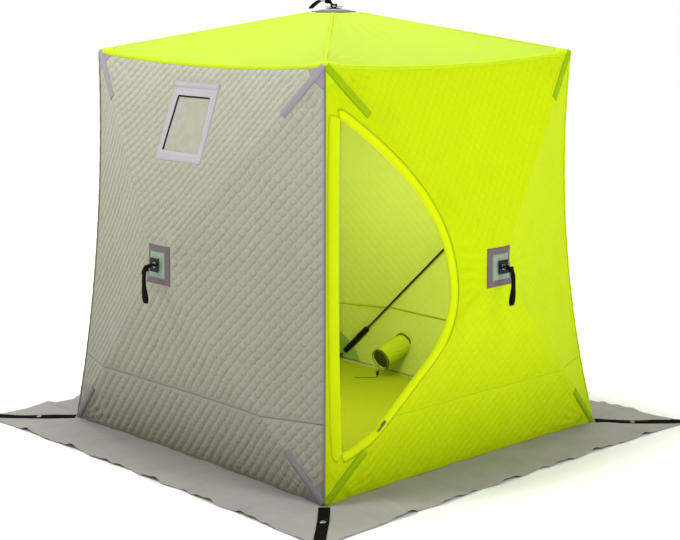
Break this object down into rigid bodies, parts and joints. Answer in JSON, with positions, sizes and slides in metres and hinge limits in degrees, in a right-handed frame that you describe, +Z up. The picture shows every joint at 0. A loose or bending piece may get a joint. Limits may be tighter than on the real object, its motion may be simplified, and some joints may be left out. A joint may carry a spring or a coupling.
{
  "type": "ice fishing shelter",
  "caption": "Pop-up cube shelter with quilted walls, a hub and four rods in each wall and in the roof, a zipped side door, a window, a vent sleeve and a ground skirt.",
  "frame": {"origin": "middle of the base on the ground", "axes": "+Z up; the door wall faces -Y, the window wall faces -X, the vent sleeve is in the +X wall"},
  "size_m": [2.4994, 2.4994, 2.0238],
  "materials": {
    "lime_quilt": "bright yellow-green polyester, quilted in small diamonds",
    "grey_quilt": "light grey polyester, quilted in small diamonds",
    "roof_fabric": "bright yellow-green coated polyester, plain",
    "skirt_fabric": "grey coated polyester, plain",
    "patch_fabric": "mauve-grey coated reinforcement patch",
    "grey_trim": "lavender-grey polyester trim",
    "clear_film": "clear soft plastic film",
    "vent_fabric": "yellow-green coated polyester, with a dark mesh end",
    "cord_black": "thin braided cord",
    "black_plastic": "moulded nylon",
    "black_webbing": "woven webbing",
    "zip_metal": "die-cast slider",
    "glass_fibre": "black glass-fibre rod with a metal ferrule and a webbing sleeve"
  },
  "bodies": {
    "shell": {"front_wall": "lime_quilt", "right_wall": "lime_quilt", "back_wall": "grey_quilt", "left_wall": "grey_quilt", "roof": "roof_fabric", "ground_skirt": "skirt_fabric", "window_film": "clear_film", "window_frame": "grey_trim", "vent_sleeve": "vent_fabric", "vent_toggle": "black_plastic", "vent_drawcord": "cord_black", "top_cap_front_left": "black_plastic", "foot_cap_front_left": "black_plastic", "anchor_strap_front_left": "black_webbing", "top_cap_front_right": "black_plastic", "foot_cap_front_right": "black_plastic", "anchor_strap_front_right": "black_webbing", "top_cap_back_right": "black_plastic", "foot_cap_back_right": "black_plastic", "anchor_strap_back_right": "black_webbing", "top_cap_back_left": "black_plastic", "foot_cap_back_left": "black_plastic", "anchor_strap_back_left": "black_webbing"},
    "front_hub_set": {"front_hub": "black_plastic", "front_hub_patch": "patch_fabric"},
    "front_rod_lower_left": {"front_rod_lower_left": "glass_fibre"},
    "front_rod_lower_right": {"front_rod_lower_right": "glass_fibre"},
    "front_rod_upper_left": {"front_rod_upper_left": "glass_fibre"},
    "front_rod_upper_right": {"front_rod_upper_right": "glass_fibre"},
    "front_pull_strap": {"front_pull_strap": "black_webbing"},
    "right_hub_set": {"right_hub": "black_plastic", "right_hub_patch": "patch_fabric"},
    "right_rod_lower_left": {"right_rod_lower_left": "glass_fibre"},
    "right_rod_lower_right": {"right_rod_lower_right": "glass_fibre"},
    "right_rod_upper_left": {"right_rod_upper_left": "glass_fibre"},
    "right_rod_upper_right": {"right_rod_upper_right": "glass_fibre"},
    "right_pull_strap": {"right_pull_strap": "black_webbing"},
    "back_hub_set": {"back_hub": "black_plastic", "back_hub_patch": "patch_fabric"},
    "back_rod_lower_left": {"back_rod_lower_left": "glass_fibre"},
    "back_rod_lower_right": {"back_rod_lower_right": "glass_fibre"},
    "back_rod_upper_left": {"back_rod_upper_left": "glass_fibre"},
    "back_rod_upper_right": {"back_rod_upper_right": "glass_fibre"},
    "back_pull_strap": {"back_pull_strap": "black_webbing"},
    "left_hub_set": {"left_hub": "black_plastic", "left_hub_patch": "patch_fabric"},
    "left_rod_lower_left": {"left_rod_lower_left": "glass_fibre"},
    "left_rod_lower_right": {"left_rod_lower_right": "glass_fibre"},
    "left_rod_upper_left": {"left_rod_upper_left": "glass_fibre"},
    "left_rod_upper_right": {"left_rod_upper_right": "glass_fibre"},
    "left_pull_strap": {"left_pull_strap": "black_webbing"},
    "roof_hub_set": {"roof_hub": "black_plastic", "roof_hub_patch": "patch_fabric"},
    "roof_rod_back_left": {"roof_rod_back_left": "glass_fibre"},
    "roof_rod_back_right": {"roof_rod_back_right": "glass_fibre"},
    "roof_rod_front_left": {"roof_rod_front_left": "glass_fibre"},
    "roof_rod_front_right": {"roof_rod_front_right": "glass_fibre"},
    "roof_pull_strap": {"roof_pull_strap": "black_webbing"},
    "door_flap": {"door_flap": "lime_quilt"},
    "zip_slider": {"zip_slider": "zip_metal"}
  },
  "joints": [
    {"name": "front_hub_push", "type": "slide", "parent": "shell", "child": "front_hub_set", "axis": [0, -0.998, 0.0634], "range_m": [-0.42, 0]},
    {"name": "front_rod_lower_left_fold", "type": "hinge", "parent": "front_hub_set", "child": "front_rod_lower_left", "pos_m": [-0.02468, -1.03611, 0.89041], "axis": [0.709, -0.0447, -0.7038], "range_deg": [-19.5, 0]},
    {"name": "front_rod_lower_right_fold", "type": "hinge", "parent": "front_hub_set", "child": "front_rod_lower_right", "pos_m": [0.02468, -1.03611, 0.89041], "axis": [0.709, 0.0447, 0.7038], "range_deg": [-19.5, 0]},
    {"name": "front_rod_upper_left_fold", "type": "hinge", "parent": "front_hub_set", "child": "front_rod_upper_left", "pos_m": [-0.02288, -1.03286, 0.94161], "axis": [-0.7568, -0.0414, -0.6524], "range_deg": [-20.71, 0]},
    {"name": "front_rod_upper_right_fold", "type": "hinge", "parent": "front_hub_set", "child": "front_rod_upper_right", "pos_m": [0.02288, -1.03286, 0.94161], "axis": [-0.7568, 0.0414, 0.6524], "range_deg": [-20.71, 0]},
    {"name": "front_pull_swing", "type": "hinge", "parent": "front_hub_set", "child": "front_pull_strap", "pos_m": [0, -1.08244, 0.91822], "axis": [-1, 0, 0], "range_deg": [0, 150]},
    {"name": "right_hub_push", "type": "slide", "parent": "shell", "child": "right_hub_set", "axis": [0.998, 0, 0.0634], "range_m": [-0.42, 0]},
    {"name": "right_rod_lower_left_fold", "type": "hinge", "parent": "right_hub_set", "child": "right_rod_lower_left", "pos_m": [1.03611, -0.02468, 0.89041], "axis": [0.0447, 0.709, -0.7038], "range_deg": [-19.5, 0]},
    {"name": "right_rod_lower_right_fold", "type": "hinge", "parent": "right_hub_set", "child": "right_rod_lower_right", "pos_m": [1.03611, 0.02468, 0.89041], "axis": [-0.0447, 0.709, 0.7038], "range_deg": [-19.5, 0]},
    {"name": "right_rod_upper_left_fold", "type": "hinge", "parent": "right_hub_set", "child": "right_rod_upper_left", "pos_m": [1.03286, -0.02288, 0.94161], "axis": [0.0414, -0.7568, -0.6524], "range_deg": [-20.71, 0]},
    {"name": "right_rod_upper_right_fold", "type": "hinge", "parent": "right_hub_set", "child": "right_rod_upper_right", "pos_m": [1.03286, 0.02288, 0.94161], "axis": [-0.0414, -0.7568, 0.6524], "range_deg": [-20.71, 0]},
    {"name": "right_pull_swing", "type": "hinge", "parent": "right_hub_set", "child": "right_pull_strap", "pos_m": [1.08244, 0, 0.91822], "axis": [0, -1, 0], "range_deg": [0, 150]},
    {"name": "back_hub_push", "type": "slide", "parent": "shell", "child": "back_hub_set", "axis": [0, 0.998, 0.0634], "range_m": [-0.42, 0]},
    {"name": "back_rod_lower_left_fold", "type": "hinge", "parent": "back_hub_set", "child": "back_rod_lower_left", "pos_m": [0.02468, 1.03611, 0.89041], "axis": [-0.709, 0.0447, -0.7038], "range_deg": [-19.5, 0]},
    {"name": "back_rod_lower_right_fold", "type": "hinge", "parent": "back_hub_set", "child": "back_rod_lower_right", "pos_m": [-0.02468, 1.03611, 0.89041], "axis": [-0.709, -0.0447, 0.7038], "range_deg": [-19.5, 0]},
    {"name": "back_rod_upper_left_fold", "type": "hinge", "parent": "back_hub_set", "child": "back_rod_upper_left", "pos_m": [0.02288, 1.03286, 0.94161], "axis": [0.7568, 0.0414, -0.6524], "range_deg": [-20.71, 0]},
    {"name": "back_rod_upper_right_fold", "type": "hinge", "parent": "back_hub_set", "child": "back_rod_upper_right", "pos_m": [-0.02288, 1.03286, 0.94161], "axis": [0.7568, -0.0414, 0.6524], "range_deg": [-20.71, 0]},
    {"name": "back_pull_swing", "type": "hinge", "parent": "back_hub_set", "child": "back_pull_strap", "pos_m": [0, 1.08244, 0.91822], "axis": [1, 0, 0], "range_deg": [0, 150]},
    {"name": "left_hub_push", "type": "slide", "parent": "shell", "child": "left_hub_set", "axis": [-0.998, 0, 0.0634], "range_m": [-0.42, 0]},
    {"name": "left_rod_lower_left_fold", "type": "hinge", "parent": "left_hub_set", "child": "left_rod_lower_left", "pos_m": [-1.03611, 0.02468, 0.89041], "axis": [-0.0447, -0.709, -0.7038], "range_deg": [-19.5, 0]},
    {"name": "left_rod_lower_right_fold", "type": "hinge", "parent": "left_hub_set", "child": "left_rod_lower_right", "pos_m": [-1.03611, -0.02468, 0.89041], "axis": [0.0447, -0.709, 0.7038], "range_deg": [-19.5, 0]},
    {"name": "left_rod_upper_left_fold", "type": "hinge", "parent": "left_hub_set", "child": "left_rod_upper_left", "pos_m": [-1.03286, 0.02288, 0.94161], "axis": [-0.0414, 0.7568, -0.6524], "range_deg": [-20.71, 0]},
    {"name": "left_rod_upper_right_fold", "type": "hinge", "parent": "left_hub_set", "child": "left_rod_upper_right", "pos_m": [-1.03286, -0.02288, 0.94161], "axis": [0.0414, 0.7568, 0.6524], "range_deg": [-20.71, 0]},
    {"name": "left_pull_swing", "type": "hinge", "parent": "left_hub_set", "child": "left_pull_strap", "pos_m": [-1.08244, 0, 0.91822], "axis": [0, 1, 0], "range_deg": [0, 150]},
    {"name": "roof_hub_push", "type": "slide", "parent": "shell", "child": "roof_hub_set", "axis": [0, 0, 1], "range_m": [-0.36, 0]},
    {"name": "roof_rod_back_left_fold", "type": "hinge", "parent": "roof_hub_set", "child": "roof_rod_back_left", "pos_m": [-0.02475, 0.02475, 1.9703], "axis": [-0.7071, -0.7071, 0], "range_deg": [-19.3, 0]},
    {"name": "roof_rod_back_right_fold", "type": "hinge", "parent": "roof_hub_set", "child": "roof_rod_back_right", "pos_m": [0.02475, 0.02475, 1.9703], "axis": [-0.7071, 0.7071, 0], "range_deg": [-19.3, 0]},
    {"name": "roof_rod_front_left_fold", "type": "hinge", "parent": "roof_hub_set", "child": "roof_rod_front_left", "pos_m": [-0.02475, -0.02475, 1.9703], "axis": [0.7071, -0.7071, 0], "range_deg": [-19.3, 0]},
    {"name": "roof_rod_front_right_fold", "type": "hinge", "parent": "roof_hub_set", "child": "roof_rod_front_right", "pos_m": [0.02475, -0.02475, 1.9703], "axis": [0.7071, 0.7071, 0], "range_deg": [-19.3, 0]},
    {"name": "roof_pull_swing", "type": "hinge", "parent": "roof_hub_set", "child": "roof_pull_strap", "pos_m": [0, 0, 2.0183], "axis": [1, 0, 0], "range_deg": [0, 160]},
    {"name": "door_swing", "type": "hinge", "parent": "shell", "child": "door_flap", "pos_m": [-0.797, -0.85398, 0.205], "axis": [0.056, 0.0674, 0.9962], "range_deg": [-82, 0]},
    {"name": "zip_slide", "type": "slide", "parent": "shell", "child": "zip_slider", "axis": [0.7007, -0.134, 0.7007], "range_m": [0, 0.29]}
  ],
  "couplings": [
    {"joint": "front_rod_lower_left_fold", "follows": "front_hub_push", "rad_per_m": 0.79782},
    {"joint": "front_rod_lower_right_fold", "follows": "front_hub_push", "rad_per_m": 0.79782},
    {"joint": "front_rod_upper_left_fold", "follows": "front_hub_push", "rad_per_m": 0.84825},
    {"joint": "front_rod_upper_right_fold", "follows": "front_hub_push", "rad_per_m": 0.84825},
    {"joint": "right_rod_lower_left_fold", "follows": "right_hub_push", "rad_per_m": 0.79782},
    {"joint": "right_rod_lower_right_fold", "follows": "right_hub_push", "rad_per_m": 0.79782},
    {"joint": "right_rod_upper_left_fold", "follows": "right_hub_push", "rad_per_m": 0.84825},
    {"joint": "right_rod_upper_right_fold", "follows": "right_hub_push", "rad_per_m": 0.84825},
    {"joint": "back_rod_lower_left_fold", "follows": "back_hub_push", "rad_per_m": 0.79782},
    {"joint": "back_rod_lower_right_fold", "follows": "back_hub_push", "rad_per_m": 0.79782},
    {"joint": "back_rod_upper_left_fold", "follows": "back_hub_push", "rad_per_m": 0.84825},
    {"joint": "back_rod_upper_right_fold", "follows": "back_hub_push", "rad_per_m": 0.84825},
    {"joint": "left_rod_lower_left_fold", "follows": "left_hub_push", "rad_per_m": 0.79782},
    {"joint": "left_rod_lower_right_fold", "follows": "left_hub_push", "rad_per_m": 0.79782},
    {"joint": "left_rod_upper_left_fold", "follows": "left_hub_push", "rad_per_m": 0.84825},
    {"joint": "left_rod_upper_right_fold", "follows": "left_hub_push", "rad_per_m": 0.84825},
    {"joint": "roof_rod_back_left_fold", "follows": "roof_hub_push", "rad_per_m": 0.92136},
    {"joint": "roof_rod_back_right_fold", "follows": "roof_hub_push", "rad_per_m": 0.92136},
    {"joint": "roof_rod_front_left_fold", "follows": "roof_hub_push", "rad_per_m": 0.92136},
    {"joint": "roof_rod_front_right_fold", "follows": "roof_hub_push", "rad_per_m": 0.92136}
  ]
}
